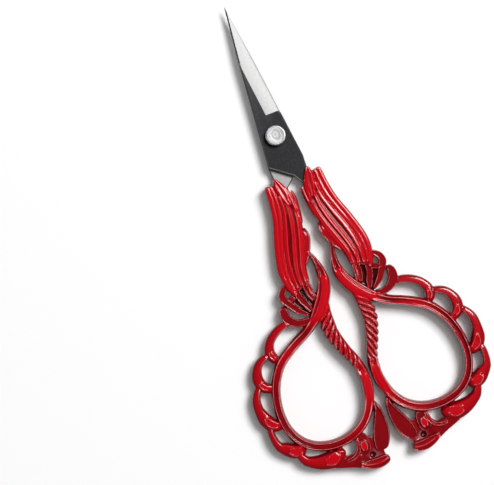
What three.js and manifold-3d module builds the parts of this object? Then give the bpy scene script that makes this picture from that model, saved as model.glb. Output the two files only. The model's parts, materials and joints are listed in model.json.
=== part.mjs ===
// Embroidery scissors with cast, scrolled handles, lying closed on their backs.
// Millimetres, +Z up. The Z axis is the pivot's axis, the blades point along +Y,
// and the backs of the handles and of the pivot nut rest on the plane z = 0.
import * as THREE from "three";
import { ParametricGeometry } from "three/addons/geometries/ParametricGeometry.js";
import { mergeVertices } from "three/addons/utils/BufferGeometryUtils.js";
import Module from "manifold-3d";

const wasm = await Module();
wasm.setup();

// Blades. Reaches run forward from the pivot and backs run towards the handles.
const TIP_REACH = 34.7;
const SPINE_BEND_REACH = 20;
const SPINE_BEND_HALF = 1.85; // half the closed pair's width at the bend of the spine
const HEEL_REACH = 5.6; // where the ground edge starts
const SHOULDER_BACK = 6.9;
const SHOULDER_HALF = 4.6;
const EDGE_SETBACK = 0.35; // cutting edge inside the other blade's spine
const BEVEL_WIDTH = 3.3;
const EDGE_LAND = 0.3; // thickness left at the cutting edge
const BLADE_THICKNESS = 1.2;
const BLADE_GAP = 0.1;
const CROOK_BACK = 10.95; // inner corner between a blade and its tang
const FRONT_CROOK_OUT = 0.6;
const REAR_CROOK_OUT = -0.5;

// Tangs and their sockets.
const TANG_ROOT = { out: 2.9, back: 10.6 };
const TANG_LENGTH = 14.6;
const TANG_WIDTH = 3;
const TANG_SLANT = THREE.MathUtils.degToRad(10);
const TANG_FLARE = 2.2; // length over which the crook runs into the tang
const TANG_CLEARANCE = 0.2;

// Pivot: a domed screw in a barrel nut, with a washer under the head.
const HEAD_DIAMETER = 5.2;
const HEAD_RIM = 0.35;
const HEAD_DOME = 0.8;
const SHANK_DIAMETER = 1.8;
const BARREL_DIAMETER = 3;
const NUT_DIAMETER = 5.2;
const NUT_FLOOR = 0.5;
const WASHER_DIAMETER = 4.6;
const WASHER_THICKNESS = 0.2;
const PIVOT_PLAY = 0.06; // running clearance, round and along the pivot

// Handles: a wing, an arm that curves out of it and a finger loop.
const HANDLE_THICKNESS = 4.4;
const WEB_THICKNESS = 3.5; // wing between its feathers
const LEAF_THICKNESS = 3.6;
const TENDRIL_THICKNESS = 2.6;
const WING_REACH = 9.5; // pivot to the wing's first tip
const WING_LENGTH = 29.6;
const WING_SPREAD = 12; // middle line to the wing's outer edge
const ARM_LENGTH = 8.7; // end of the wing to the clear loop
const LOOP_WIDTH = 21.2; // clear
const LOOP_LENGTH = 28.2; // clear
const STRAND_WIDTH = 1.6; // usual width of a strand of the casting
const INNER_RIM = 2.4; // rim where the two handles meet
const HANDLE_GAP = 0.5;
const ROPE_TURNS = 12;
const ROPE_DEPTH = 0.44; // of the grooves between its turns

// Facets of round faces and of the strands.
const ROUND_SIDES = 40;
const DOME_STEPS = 8;
const STRAND_SIDES = 8;
const STRAND_STEPS = 8;
const LEAF_STEPS = 10;
const RIM_STEPS = 42;
const STEPS_A_TURN = 3;
const THIN = { sides: 6, steps: 7 };

const MIDDLE = HANDLE_THICKNESS / 2; // plane between the two blades
const wingEnd = WING_REACH + WING_LENGTH;
const loopOut = HANDLE_GAP / 2 + INNER_RIM + LOOP_WIDTH / 2;
const loopBack = wingEnd + ARM_LENGTH + LOOP_LENGTH / 2;

// Points of the left handle. The third value is the strand's width there, in usual widths.
// Wing: share of the wing's spread out from the middle line, and share of its length.
const onWing = ([out, share, width = 0]) =>
  new THREE.Vector3(-out * WING_SPREAD, -WING_REACH - share * WING_LENGTH, (width * STRAND_WIDTH) / 2);
// Arm: share of the spread, and share of the way from the wing's end to the clear loop.
const onArm = ([out, share, width]) =>
  new THREE.Vector3(-out * WING_SPREAD, -wingEnd - share * ARM_LENGTH, (width * STRAND_WIDTH) / 2);
// Loop: outwards and backwards from its centre, in half widths and half lengths.
const onLoop = ([u, v, width]) =>
  new THREE.Vector3(
    -loopOut - (u * LOOP_WIDTH) / 2,
    -loopBack - (v * LOOP_LENGTH) / 2,
    (width * STRAND_WIDTH) / 2,
  );

const FEATHERS = [
  [[0.56, 0.05, 0.5], [0.58, 0.15, 0.75], [0.62, 0.29, 0.9], [0.72, 0.44, 1.05], [0.84, 0.59, 1.15],
    [0.92, 0.73, 1.2], [0.93, 0.84, 1.1], [0.85, 0.95, 0.8], [0.79, 0.99, 0.5]],
  [[0.48, 0.09, 0.4], [0.49, 0.19, 0.7], [0.52, 0.3, 0.8], [0.61, 0.44, 0.95], [0.72, 0.59, 1],
    [0.79, 0.73, 1], [0.8, 0.86, 0.85], [0.77, 0.96, 0.55]],
  [[0.4, 0.18, 0.45], [0.42, 0.3, 0.8], [0.49, 0.44, 0.95], [0.6, 0.59, 0.95], [0.67, 0.73, 0.9],
    [0.7, 0.84, 0.75], [0.68, 0.93, 0.5]],
  [[0.24, 0.26, 0.45], [0.3, 0.37, 0.9], [0.38, 0.5, 1], [0.49, 0.64, 0.95], [0.56, 0.76, 0.8],
    [0.6, 0.86, 0.7], [0.59, 0.93, 0.5]],
  [[0.18, 0.31, 0.3], [0.2, 0.39, 0.6], [0.27, 0.52, 0.95], [0.38, 0.67, 0.95], [0.48, 0.79, 0.75],
    [0.5, 0.92, 0.6]],
  [[0.17, 0.5, 0.3], [0.17, 0.55, 0.75], [0.23, 0.62, 1], [0.33, 0.71, 0.8], [0.42, 0.77, 0.4]],
  [[0.37, 0.01, 0.4], [0.33, 0.08, 1.05], [0.31, 0.17, 1.4], [0.28, 0.25, 1.2]],
  [[0.23, 0.09, 0.4], [0.2, 0.16, 0.7], [0.18, 0.25, 0.7], [0.18, 0.34, 0.5]],
  [[0.11, 0.15, 0.3], [0.1, 0.21, 0.45], [0.12, 0.32, 0.5], [0.16, 0.44, 0.4]],
];
const WEB = [
  [0.58, 0.08], [0.61, 0.24], [0.7, 0.37], [0.82, 0.52], [0.92, 0.68], [0.96, 0.79], [0.9, 0.9],
  [0.8, 0.96], [0.65, 0.93], [0.5, 0.91], [0.47, 0.79], [0.38, 0.74], [0.24, 0.67], [0.16, 0.57],
  [0.2, 0.48], [0.16, 0.35], [0.11, 0.2], [0.2, 0.13], [0.3, 0.08], [0.37, 0.04], [0.41, 0.12],
  [0.45, 0.17], [0.52, 0.12],
];
// Tendrils and the arm start on the wing and go on in the arm's own shares.
const TENDRILS = [
  { wing: [[0.97, 0.9, 0.5]],
    arm: [[1.08, -0.3, 0.6], [1.15, -0.13, 0.6], [1.11, 0.05, 0.7], [1.03, 0.24, 0.6],
      [0.9, 0.45, 0.55], [0.72, 0.63, 0.5]] },
  { wing: [],
    arm: [[1.16, 0.1, 0.4], [1.22, 0.29, 1], [1.2, 0.49, 1.2], [1.07, 0.67, 0.9],
      [0.9, 0.74, 0.7], [0.72, 0.7, 0.55]] },
  { wing: [[0.92, 0.95, 0.45]], arm: [[0.91, 0.17, 0.5], [0.81, 0.44, 0.5], [0.67, 0.59, 0.45]] },
  { wing: [[0.8, 0.96, 0.55]], arm: [[0.74, 0.21, 0.6], [0.64, 0.49, 0.5]] },
  { wing: [[0.59, 0.91, 0.45]], arm: [[0.58, 0.05, 0.5], [0.51, 0.37, 0.45]] },
  { wing: [[0.51, 0.9, 0.45]], arm: [[0.5, -0.01, 0.45], [0.45, 0.26, 0.45]] },
];
const ARM = {
  wing: [[0.27, 0.67, 0.45], [0.2, 0.78, 0.95], [0.18, 0.86, 1.4], [0.2, 0.96, 1.9]],
  arm: [[0.31, 0.22, 2.2], [0.47, 0.52, 2.2], [0.67, 0.78, 1.7]],
};
const RIM = [
  [-0.22, -0.99, 1.4], [0.11, -0.87, 1.25], [0.41, -0.75, 1.2], [0.65, -0.61, 1.1],
  [0.89, -0.35, 1.05], [1.02, -0.08, 1], [1.07, 0.23, 0.95], [1.02, 0.52, 0.95],
  [0.84, 0.78, 1], [0.57, 0.95, 1], [0.21, 1.04, 1], [-0.17, 1.04, 1.05], [-0.5, 0.96, 1.1],
  [-0.76, 0.82, 1.2], [-0.96, 0.61, 1.25], [-1.08, 0.36, 1.4], [-1.12, 0.11, INNER_RIM / STRAND_WIDTH],
  [-1.09, -0.1, INNER_RIM / STRAND_WIDTH],
];
const ROPE = [
  [-0.77, -1.17, 2], [-0.74, -0.95, 2.2], [-0.75, -0.81, 2.05], [-0.81, -0.63, 1.95],
  [-0.91, -0.42, 1.65], [-1.03, -0.21, 1.5], [-1.1, 0.01, 1.5], [-1.11, 0.22, 1.4],
];
const SCALLOPS = [
  [[0.12, -1.23, 0.9], [0.31, -1.21, 0.95], [0.5, -1.14, 1], [0.65, -1.04, 1.05],
    [0.75, -0.9, 1.2], [0.72, -0.78, 1.1], [0.63, -0.69, 0.9]],
  [[0.82, -0.84, 0.75], [1.05, -0.77, 0.9], [1.17, -0.66, 1.05], [1.23, -0.51, 1.4],
    [1.2, -0.38, 1.4], [1.07, -0.3, 1.05], [0.96, -0.28, 0.75]],
  [[1.32, -0.36, 0.75], [1.45, -0.19, 0.95], [1.49, -0.01, 1.25], [1.44, 0.17, 1.75],
    [1.35, 0.3, 1.75], [1.22, 0.36, 1.25], [1.09, 0.38, 0.9]],
  [[1.42, 0.38, 0.75], [1.42, 0.57, 0.9], [1.36, 0.72, 1.1], [1.25, 0.8, 1.6],
    [1.06, 0.91, 1.9], [0.91, 0.92, 1.5], [0.79, 0.89, 0.9]],
  [[0.98, 0.99, 0.9], [0.9, 1.14, 1.25], [0.71, 1.23, 1.55], [0.49, 1.28, 2.25], [0.25, 1.29, 2.5],
    [0.1, 1.23, 1.6], [0.04, 1.12, 0.9]],
];
const TAIL = [
  [[0.35, 1.35, 1.1], [0.11, 1.42, 1.05], [-0.1, 1.45, 1.25], [-0.31, 1.45, 1.6], [-0.47, 1.46, 1.4]],
  [[-0.54, 0.98, 0.6], [-0.54, 1.16, 1.4], [-0.5, 1.28, 1.6], [-0.43, 1.45, 1.1]],
  [[-0.67, 1.09, 0.45], [-0.71, 1.23, 0.6], [-0.73, 1.39, 0.75]],
  [[-0.23, 1.55, 0.75], [-0.43, 1.61, 1.3], [-0.67, 1.64, 1.5], [-0.85, 1.62, 1.25], [-0.92, 1.58, 0.75]],
  [[-1.07, 0.56, 0.5], [-1.09, 0.75, 1.1], [-1.09, 0.94, 1.75], [-1.01, 1.14, 2.4],
    [-0.92, 1.3, 2.3], [-0.86, 1.45, 1.6], [-0.85, 1.57, 1.1]],
];

// A closed geometry as a solid that can be joined and cut.
function solid(geometry) {
  const bare = new THREE.BufferGeometry();
  const whole = geometry.index ? geometry.toNonIndexed() : geometry;
  bare.setAttribute("position", whole.attributes.position);
  const merged = mergeVertices(bare, 1e-4);
  const corners = [];
  for (let i = 0; i < merged.index.count; i += 3) {
    const [a, b, c] = merged.index.array.subarray(i, i + 3);
    if (a !== b && b !== c && c !== a) corners.push(a, b, c);
  }
  return new wasm.Manifold(
    new wasm.Mesh({
      numProp: 3,
      vertProperties: merged.attributes.position.array,
      triVerts: new Uint32Array(corners),
    }),
  );
}

function geometryOf(made) {
  const mesh = made.getMesh();
  const geometry = new THREE.BufferGeometry();
  geometry.setAttribute("position", new THREE.BufferAttribute(mesh.vertProperties, mesh.numProp));
  geometry.setIndex(new THREE.BufferAttribute(mesh.triVerts, 1));
  return geometry;
}

// A flat plate with the given outline, from one height to another.
function plate(points, low, high) {
  const shape = new THREE.Shape(points);
  const made = new THREE.ExtrudeGeometry(shape, { depth: high - low, bevelEnabled: false });
  return solid(made.translate(0, 0, low));
}

// The outline with every side moved outwards by the same amount; it runs anticlockwise.
function grown(points, by) {
  return points.map((point, i) => {
    const before = point.clone().sub(points.at(i - 1)).normalize();
    const after = points[(i + 1) % points.length].clone().sub(point).normalize();
    const miter = new THREE.Vector2(before.y + after.y, -before.x - after.x);
    return point.clone().addScaledVector(miter, (2 * by) / miter.lengthSq());
  });
}

function roundBar(diameter, low, high) {
  const bar = new THREE.CylinderGeometry(diameter / 2, diameter / 2, high - low, ROUND_SIDES);
  return solid(bar.rotateX(Math.PI / 2).translate(0, 0, (low + high) / 2));
}

// A strand of a casting: a smooth line with a flat-topped oval section and rounded ends.
// Points carry the half width as z. Relief scales the height by place along and across.
function strand(points, thickness, options = {}) {
  const { sides = STRAND_SIDES, steps = STRAND_STEPS, even = false, relief = () => 1 } = options;
  const line = new THREE.CatmullRomCurve3(points);
  const length = line.getLength();
  const corner = 1 / Math.cos(Math.PI / sides);
  const ends = [points[0].z, points.at(-1).z];
  const skin = (around, along, target) => {
    const share = even ? along : (1 - Math.cos(Math.PI * along)) / 2;
    const centre = line.getPointAt(share);
    const run = line.getTangentAt(share).setZ(0).normalize();
    const nearness = [share * length, (1 - share) * length].map((d, i) => Math.min(1, d / ends[i]));
    const swell = corner * Math.sqrt(1 - (1 - Math.min(...nearness)) ** 2);
    const angle = 2 * Math.PI * (around + 0.5 / sides);
    const across = Math.cos(angle);
    const offset = centre.z * swell * across;
    const height = (thickness / 2) * swell * Math.sin(angle) * relief(share, across);
    target.set(centre.x - run.y * offset, centre.y + run.x * offset, height);
  };
  return solid(new ParametricGeometry(skin, sides, steps));
}

// Half the width of the closed pair of blades.
function pairHalf(y) {
  const [from, to] =
    y > SPINE_BEND_REACH
      ? [[TIP_REACH, 0], [SPINE_BEND_REACH, SPINE_BEND_HALF]]
      : [[SPINE_BEND_REACH, SPINE_BEND_HALF], [-SHOULDER_BACK, SHOULDER_HALF]];
  return THREE.MathUtils.mapLinear(y, from[0], to[0], from[1], to[1]);
}

const tangPoint = (along, across) =>
  new THREE.Vector2(
    TANG_ROOT.out + along * Math.sin(TANG_SLANT) + across * Math.cos(TANG_SLANT),
    -TANG_ROOT.back - along * Math.cos(TANG_SLANT) + across * Math.sin(TANG_SLANT),
  );

// Plan of a blade seen on its outer face, with its tang going to the right.
function bladeOutline(crookOut) {
  const half = TANG_WIDTH / 2;
  return [
    new THREE.Vector2(0, TIP_REACH),
    new THREE.Vector2(-pairHalf(SPINE_BEND_REACH), SPINE_BEND_REACH),
    new THREE.Vector2(-pairHalf(-SHOULDER_BACK), -SHOULDER_BACK),
    new THREE.Vector2(crookOut, -CROOK_BACK),
    tangPoint(TANG_FLARE, -half),
    tangPoint(TANG_LENGTH, -half),
    tangPoint(TANG_LENGTH, half),
    tangPoint(0, half),
    new THREE.Vector2(pairHalf(-SHOULDER_BACK), -SHOULDER_BACK),
    new THREE.Vector2(pairHalf(HEEL_REACH), HEEL_REACH),
    new THREE.Vector2(pairHalf(HEEL_REACH) - EDGE_SETBACK, HEEL_REACH),
  ];
}

// A blade about the middle plane, its flat face towards that plane.
function blade(crookOut) {
  const inner = BLADE_GAP / 2;
  const outer = inner + BLADE_THICKNESS;
  const heel = pairHalf(HEEL_REACH) - EDGE_SETBACK;
  const rise = (BLADE_THICKNESS - EDGE_LAND) / BEVEL_WIDTH;
  const over = BLADE_THICKNESS; // the cutter runs this far past the edge, the face and the tip
  const wedge = new THREE.Shape([
    new THREE.Vector2(heel + over, inner + EDGE_LAND - over * rise),
    new THREE.Vector2(heel + over, outer + over),
    new THREE.Vector2(heel - BEVEL_WIDTH - over / rise, outer + over),
  ]);
  const cutter = new THREE.ExtrudeGeometry(wedge, {
    depth: TIP_REACH + over - HEEL_REACH,
    bevelEnabled: false,
  });
  const lean = -heel / (TIP_REACH - HEEL_REACH);
  cutter.rotateX(Math.PI / 2).translate(0, TIP_REACH + over - HEEL_REACH, 0);
  cutter.applyMatrix4(new THREE.Matrix4().makeShear(0, 0, lean, 0, 0, 0));
  cutter.translate(0, HEEL_REACH, 0);
  return plate(bladeOutline(crookOut), inner, outer)
    .subtract(roundBar(BARREL_DIAMETER + 2 * PIVOT_PLAY, inner - over, outer + over))
    .subtract(solid(cutter));
}

// The left handle's casting about the middle plane, before its socket is cut.
function casting() {
  const depth = ROPE_DEPTH / HANDLE_THICKNESS;
  const tooth = (share, across) =>
    1 - depth * (1 - Math.cos(2 * Math.PI * (ROPE_TURNS * share + across / 2)));
  const fromWing = ({ wing, arm }) => [...wing.map(onWing), ...arm.map(onArm)];
  const web = new THREE.CatmullRomCurve3(WEB.map(onWing), true).getPoints(2 * WEB.length);
  const outline = web.slice(1).map(({ x, y }) => new THREE.Vector2(x, y));
  return [
    plate(outline, -WEB_THICKNESS / 2, WEB_THICKNESS / 2),
    ...FEATHERS.map((points) => strand(points.map(onWing), HANDLE_THICKNESS)),
    ...TENDRILS.map((route) => strand(fromWing(route), TENDRIL_THICKNESS, THIN)),
    strand([...fromWing(ARM), ...RIM.map(onLoop)], HANDLE_THICKNESS, { steps: RIM_STEPS, even: true }),
    strand(ROPE.map(onLoop), HANDLE_THICKNESS, {
      steps: ROPE_TURNS * STEPS_A_TURN,
      even: true,
      relief: tooth,
    }),
    ...SCALLOPS.map((points) => strand(points.map(onLoop), LEAF_THICKNESS, { steps: LEAF_STEPS })),
    ...TAIL.map((points) => strand(points.map(onLoop), LEAF_THICKNESS)),
  ].reduce((whole, piece) => whole.add(piece));
}

// Room for a blade's tang, with clearance all round.
function socket(crookOut) {
  const outline = grown(bladeOutline(crookOut), TANG_CLEARANCE);
  const inner = BLADE_GAP / 2;
  return plate(outline, inner - TANG_CLEARANCE, inner + BLADE_THICKNESS + TANG_CLEARANCE);
}

// Turned half a turn about Y, a piece of the front half becomes one of the rear half.
const turned = (made) => solid(geometryOf(made).rotateY(Math.PI));

function round(profile) {
  const points = profile.map(([radius, z]) => new THREE.Vector2(radius, z));
  return new THREE.LatheGeometry(points, ROUND_SIDES).rotateX(Math.PI / 2);
}

const frontTop = BLADE_GAP / 2 + BLADE_THICKNESS;
const washerLow = frontTop + PIVOT_PLAY;
const headLow = washerLow + WASHER_THICKNESS + PIVOT_PLAY;
const nutTop = -frontTop - PIVOT_PLAY;
const shankEnd = -MIDDLE + NUT_FLOOR + PIVOT_PLAY;

const dome = Array.from({ length: DOME_STEPS }, (_, i) => {
  const angle = (i * Math.PI) / 2 / DOME_STEPS;
  return [(HEAD_DIAMETER / 2) * Math.cos(angle), headLow + HEAD_RIM + HEAD_DOME * Math.sin(angle)];
});
const screw = round([
  [0, shankEnd],
  [SHANK_DIAMETER / 2, shankEnd],
  [SHANK_DIAMETER / 2, headLow],
  [HEAD_DIAMETER / 2, headLow],
  ...dome,
  [0, headLow + HEAD_RIM + HEAD_DOME],
]);
const barrel = round([
  [0, -MIDDLE],
  [NUT_DIAMETER / 2, -MIDDLE],
  [NUT_DIAMETER / 2, nutTop],
  [BARREL_DIAMETER / 2, nutTop],
  [BARREL_DIAMETER / 2, frontTop],
  [SHANK_DIAMETER / 2 + PIVOT_PLAY, frontTop],
  [SHANK_DIAMETER / 2 + PIVOT_PLAY, -MIDDLE + NUT_FLOOR],
  [0, -MIDDLE + NUT_FLOOR],
]);
const washer = roundBar(WASHER_DIAMETER, washerLow, washerLow + WASHER_THICKNESS).subtract(
  roundBar(SHANK_DIAMETER + 2 * PIVOT_PLAY, frontTop, headLow),
);

const handle = casting();
const extent = 4 * loopBack; // longer and wider than the scissors
const slab = solid(new THREE.BoxGeometry(extent, extent, HANDLE_THICKNESS));
const leftHandle = handle.subtract(turned(socket(REAR_CROOK_OUT))).intersect(slab);
const rightHandle = turned(handle).subtract(socket(FRONT_CROOK_OUT)).intersect(slab);

const enamel = { color: 0xc8101e, roughness: 0.22, metalness: 0.1 };
const steel = { color: 0x3a3b3e, roughness: 0.42, metalness: 0.9 };
const satin = { color: 0xc8c6c8, roughness: 0.34, metalness: 1 };

const scissors = new THREE.Group();
function piece(name, geometry, finish) {
  const shape = geometry.clone().translate(0, 0, MIDDLE);
  const mesh = new THREE.Mesh(shape, new THREE.MeshStandardMaterial(finish));
  mesh.name = name;
  scissors.add(mesh);
}
piece("front_blade", geometryOf(blade(FRONT_CROOK_OUT)), steel);
piece("rear_blade", geometryOf(turned(blade(REAR_CROOK_OUT))), steel);
piece("left_handle", geometryOf(leftHandle), enamel);
piece("right_handle", geometryOf(rightHandle), enamel);
piece("pivot_screw", screw, satin);
piece("pivot_barrel", barrel, satin);
piece("pivot_washer", geometryOf(washer), satin);

export default scissors;
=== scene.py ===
"""Embroidery scissors with cast, enamelled handles, modelled over their fixed construction."""

import json
import math
from contextlib import contextmanager

import bpy
import numpy as np
from bpy.props import FloatProperty, FloatVectorProperty, IntProperty, PointerProperty
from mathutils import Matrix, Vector

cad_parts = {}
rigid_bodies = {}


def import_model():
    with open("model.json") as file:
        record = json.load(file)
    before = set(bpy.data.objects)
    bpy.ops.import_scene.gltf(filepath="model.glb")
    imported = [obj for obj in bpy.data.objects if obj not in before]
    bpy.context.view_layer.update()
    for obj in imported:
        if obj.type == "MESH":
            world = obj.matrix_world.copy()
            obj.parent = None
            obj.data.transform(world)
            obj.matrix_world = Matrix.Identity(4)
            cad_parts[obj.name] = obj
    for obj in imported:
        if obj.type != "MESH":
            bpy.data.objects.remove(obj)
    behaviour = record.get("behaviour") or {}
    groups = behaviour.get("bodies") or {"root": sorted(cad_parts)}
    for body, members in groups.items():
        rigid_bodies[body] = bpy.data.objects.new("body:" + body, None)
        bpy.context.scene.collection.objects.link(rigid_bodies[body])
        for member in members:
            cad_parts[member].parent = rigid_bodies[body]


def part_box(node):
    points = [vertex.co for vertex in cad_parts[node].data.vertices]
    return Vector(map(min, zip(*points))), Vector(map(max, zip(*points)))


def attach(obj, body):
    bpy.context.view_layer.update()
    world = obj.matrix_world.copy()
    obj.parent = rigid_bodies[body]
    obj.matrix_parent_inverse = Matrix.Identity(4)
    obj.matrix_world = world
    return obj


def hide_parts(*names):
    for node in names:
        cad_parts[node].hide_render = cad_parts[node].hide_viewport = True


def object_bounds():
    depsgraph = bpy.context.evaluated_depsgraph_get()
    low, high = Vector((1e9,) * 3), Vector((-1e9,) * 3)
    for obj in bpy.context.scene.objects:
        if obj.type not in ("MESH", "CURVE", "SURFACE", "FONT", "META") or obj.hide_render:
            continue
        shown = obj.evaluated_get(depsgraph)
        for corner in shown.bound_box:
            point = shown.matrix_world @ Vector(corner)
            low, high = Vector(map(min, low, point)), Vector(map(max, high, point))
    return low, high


bl_info = {
    "name": "Embroidery Scissors",
    "version": (1, 0, 0),
    "blender": (4, 5, 0),
    "location": "View3D > Sidebar > Scissors",
    "description": "Models the handles, blades and pivot of a pair of embroidery scissors",
    "category": "Add Mesh",
}

MM = 0.001
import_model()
CAD_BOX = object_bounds()
FRONT_LOW, FRONT_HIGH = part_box("front_blade")
REAR_LOW, REAR_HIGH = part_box("rear_blade")
HANDLE_LOW, HANDLE_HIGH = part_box("left_handle")
SCREW_LOW, SCREW_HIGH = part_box("pivot_screw")
NUT_LOW, NUT_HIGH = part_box("pivot_barrel")
WASHER_LOW, WASHER_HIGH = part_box("pivot_washer")
MIDDLE = (FRONT_LOW.z + REAR_HIGH.z) / 2

# Strands of the left handle. A point's third value is the strand's width there, in usual widths.
# On the wing the first two are shares of its spread and of its length. A feather's route follows
# its height, as a share of the full one, how much that height grows towards the middle line and
# how deep a groove parts it.
FEATHERS = [
    (0.86, 0, 0,
     [[0.53, 0.14, 0.7], [0.545, 0.22, 0.9], [0.59, 0.33, 0.95], [0.695, 0.47, 1.05], [0.79, 0.6, 1.1],
      [0.87, 0.73, 1.1], [0.88, 0.84, 1], [0.84, 0.94, 0.6]]),
    (0.9, 0.02, 0,
     [[0.57, 0.045, 0.75], [0.57, 0.1, 1], [0.6, 0.22, 1], [0.66, 0.35, 1.05], [0.77, 0.49, 1.15],
      [0.87, 0.63, 1.2], [0.93, 0.75, 1.2], [0.93, 0.84, 1.1], [0.86, 0.95, 0.9], [0.8, 0.99, 0.55]]),
    (0.91, 0, 0,
     [[0.49, 0.05, 0.6], [0.485, 0.16, 0.85], [0.52, 0.28, 0.85], [0.62, 0.42, 0.9], [0.745, 0.57, 0.95],
      [0.83, 0.71, 0.95], [0.85, 0.84, 0.9], [0.81, 0.95, 0.6]]),
    (0.97, 0.12, 0,
     [[0.41, 0.15, 0.6], [0.425, 0.28, 0.95], [0.52, 0.42, 1], [0.645, 0.57, 1.05], [0.73, 0.71, 1],
      [0.76, 0.83, 1], [0.74, 0.94, 0.6]]),
    (0.97, 0, 0.06,
     [[0.3, 0.22, 0.7], [0.33, 0.36, 1], [0.41, 0.5, 1.05], [0.53, 0.65, 1.05], [0.61, 0.77, 1],
      [0.64, 0.86, 0.85], [0.63, 0.93, 0.6]]),
    (0.9, -0.07, 0.06,
     [[0.19, 0.29, 0.6], [0.2, 0.39, 0.9], [0.27, 0.52, 1.15], [0.385, 0.67, 1.25], [0.48, 0.79, 1.15],
      [0.51, 0.92, 0.85]]),
    (1, 0, 0.12,
     [[0.37, 0.01, 0.5], [0.34, 0.08, 1.7], [0.3, 0.155, 2], [0.28, 0.22, 1.3], [0.25, 0.275, 0.7]]),
    (0.93, -0.05, 0,
     [[0.22, 0.1, 0.4], [0.195, 0.16, 0.7], [0.18, 0.25, 0.7], [0.18, 0.34, 0.6]]),
    (0.82, -0.08, 0,
     [[0.11, 0.15, 0.3], [0.1, 0.21, 0.55], [0.12, 0.32, 0.6], [0.16, 0.44, 0.5]]),
]
PETAL = [[0.17, 0.48, 0.5], [0.165, 0.55, 1], [0.225, 0.62, 1.2], [0.33, 0.71, 1.1], [0.43, 0.78, 0.6]]
WEB = [
    [0.58, 0.08, 0], [0.61, 0.24, 0], [0.7, 0.37, 0], [0.82, 0.52, 0], [0.92, 0.68, 0], [0.95, 0.79, 0],
    [0.9, 0.9, 0], [0.8, 0.96, 0], [0.65, 0.94, 0], [0.5, 0.91, 0], [0.47, 0.79, 0], [0.38, 0.74, 0],
    [0.24, 0.67, 0], [0.16, 0.57, 0], [0.2, 0.48, 0], [0.16, 0.35, 0], [0.11, 0.2, 0], [0.2, 0.13, 0],
    [0.3, 0.08, 0], [0.37, 0.04, 0], [0.41, 0.12, 0], [0.45, 0.15, 0], [0.52, 0.1, 0],
]
# Tendrils and the arm start on the wing and go on in shares of the spread and of the arm's length.
TENDRILS = [
    ([[0.91, 0.875, 0.8]],
     [[1.02, -0.34, 1.05], [1.09, -0.21, 1.25], [1.1, -0.06, 1.3], [1.045, 0.08, 1.2], [0.98, 0.22, 1.2],
      [0.93, 0.333, 1.15], [0.842, 0.448, 0.95], [0.717, 0.586, 0.55]]),
    ([], [[1.04, 0.03, 0.7], [0.93, 0, 1], [0.84, -0.05, 0.8]]),
    ([],
     [[1.16, 0.1, 0.85], [1.195, 0.28, 1.45], [1.17, 0.5, 1.6], [1.05, 0.67, 1.35], [0.9, 0.735, 1.15],
      [0.72, 0.7, 0.85]]),
    ([[0.78, 0.94, 1]], [[0.765, 0.1, 1.15], [0.705, 0.28, 1.15], [0.665, 0.44, 0.9], [0.64, 0.54, 0.6]]),
    ([[0.59, 0.91, 0.75]], [[0.57, 0.02, 0.9], [0.52, 0.28, 0.6]]),
    ([[0.5, 0.9, 0.55]], [[0.49, -0.01, 0.65], [0.45, 0.22, 0.5]]),
]
# A thin sheet across the open gaps between the tendrils, which the painted shade turns near black, standing
# in for the shade deep in those gaps.
SLOT_SHADE_SHEET = [
    [0.9, -0.02, 0], [0.62, -0.26, 0], [0.55, 0.05, 0], [0.55, 0.4, 0], [0.63, 0.56, 0], [0.72, 0.58, 0],
    [0.87, 0.43, 0], [0.93, 0.22, 0], [0.94, 0.05, 0],
]
ARM = (
    [[0.262, 0.67, 0.45], [0.192, 0.78, 1.07], [0.172, 0.86, 1.52], [0.192, 0.96, 2.02]],
    [[0.302, 0.22, 2.32], [0.462, 0.52, 2.32], [0.662, 0.78, 1.82]],
)
# On the loop the first two run out and back from its centre, in half widths and half lengths.
RIM = [
    [-0.219, -0.986, 1.635], [0.112, -0.867, 1.685], [0.405, -0.743, 1.73], [0.644, -0.603, 1.68],
    [0.877, -0.35, 1.63], [1.007, -0.08, 1.58], [1.057, 0.228, 1.53], [1.007, 0.517, 1.53],
    [0.832, 0.772, 1.58], [0.562, 0.941, 1.58], [0.209, 1.027, 1.58], [-0.17, 1.027, 1.63],
    [-0.493, 0.951, 1.68], [-0.752, 0.811, 1.68], [-0.946, 0.608, 1.73], [-1.066, 0.358, 1.83],
    [-1.104, 0.109, 1.855], [-1.053, -0.099, 1.705],
]
ROPE = [
    [-0.909, -1.5, 0.9], [-0.839, -1.33, 1.84], [-0.779, -1.17, 2.24], [-0.749, -0.95, 2.49],
    [-0.759, -0.81, 2.39], [-0.819, -0.63, 2.24], [-0.914, -0.42, 1.99], [-1.029, -0.21, 1.84],
    [-1.099, 0.01, 1.79], [-1.119, 0.13, 1.74], [-1.104, 0.25, 1.64],
]
SCALLOPS = [
    [[0.01, -1.245, 0.88], [0.151, -1.242, 1.26], [0.312, -1.222, 1.36], [0.503, -1.152, 1.46],
     [0.659, -1.051, 1.51], [0.749, -0.905, 1.71], [0.724, -0.785, 1.66], [0.63, -0.69, 1.33]],
    [[0.735, -0.86, 0.88], [0.855, -0.845, 1.16], [1.056, -0.785, 1.36], [1.187, -0.669, 1.56],
     [1.247, -0.513, 1.86], [1.207, -0.382, 1.86], [1.076, -0.302, 1.56], [0.96, -0.28, 1.18]],
    [[1.22, -0.42, 0.88], [1.338, -0.342, 1.16], [1.454, -0.191, 1.41], [1.484, -0.01, 1.66],
     [1.434, 0.171, 2.16], [1.338, 0.302, 2.21], [1.207, 0.362, 1.81], [1.09, 0.38, 1.33]],
    [[1.35, 0.28, 0.88], [1.41, 0.4, 1.08], [1.41, 0.57, 1.23], [1.35, 0.72, 1.53], [1.23, 0.8, 2.08],
     [1.06, 0.89, 2.38], [0.91, 0.91, 2.03], [0.79, 0.89, 1.38]],
    [[1.06, 0.88, 0.88], [0.985, 0.998, 1.28], [0.886, 1.128, 1.58], [0.71, 1.208, 2.03],
     [0.49, 1.258, 2.58], [0.25, 1.268, 2.78], [0.1, 1.22, 2.08], [0.04, 1.12, 1.33]],
]
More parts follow.
